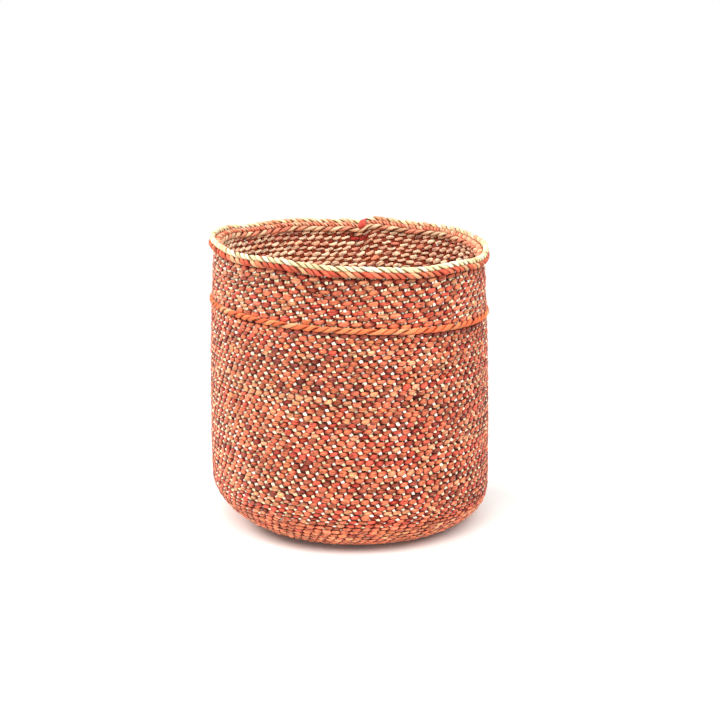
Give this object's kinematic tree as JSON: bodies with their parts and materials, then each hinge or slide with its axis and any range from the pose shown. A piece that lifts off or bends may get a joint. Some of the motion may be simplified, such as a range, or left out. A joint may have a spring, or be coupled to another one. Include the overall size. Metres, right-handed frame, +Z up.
{
  "type": "round woven basket",
  "caption": "Round hand-twined reed basket with a flat bottom, rounded heel, raised ridge cord, collar and pale roped rim, open at the top.",
  "frame": {"origin": "centre of the flat bottom, on the surface that the basket stands on", "axes": "+Z up through the open mouth; the basket is round, and -Y faces the picture's camera"},
  "size_m": [0.219, 0.219, 0.221],
  "materials": {
    "coral_weft": "dyed reed, dry satin, coral with red, tan and brown stitches",
    "natural_reed": "undyed reed, dry",
    "ridge_orange": "dyed reed, bright orange",
    "rim_coral": "dyed reed, twisted rope",
    "rim_pale": "undyed reed, pale greenish cream, twisted rope"
  },
  "bodies": {
    "root": {"stake_frame": "natural_reed", "start_lashing_outer": "coral_weft", "start_lashing_inner": "coral_weft", "base_weft_outer_1": "coral_weft", "base_weft_outer_2": "coral_weft", "base_weft_inner_1": "coral_weft", "base_weft_inner_2": "coral_weft", "heel_weft_outer_1": "coral_weft", "heel_weft_outer_2": "coral_weft", "heel_weft_inner_1": "coral_weft", "heel_weft_inner_2": "coral_weft", "wall_weft_outer_1": "coral_weft", "wall_weft_outer_2": "coral_weft", "wall_weft_outer_3": "coral_weft", "wall_weft_outer_4": "coral_weft", "wall_weft_inner_1": "coral_weft", "wall_weft_inner_2": "coral_weft", "wall_weft_inner_3": "coral_weft", "wall_weft_inner_4": "coral_weft", "collar_weft_outer_1": "coral_weft", "collar_weft_outer_2": "coral_weft", "collar_weft_inner_1": "coral_weft", "collar_weft_inner_2": "coral_weft", "ridge_cord": "ridge_orange", "rim_core": "natural_reed", "rim_outer_rope": "rim_coral", "rim_inner_rope": "rim_coral", "rim_crest_rope": "rim_pale"}
  },
  "joints": []
}
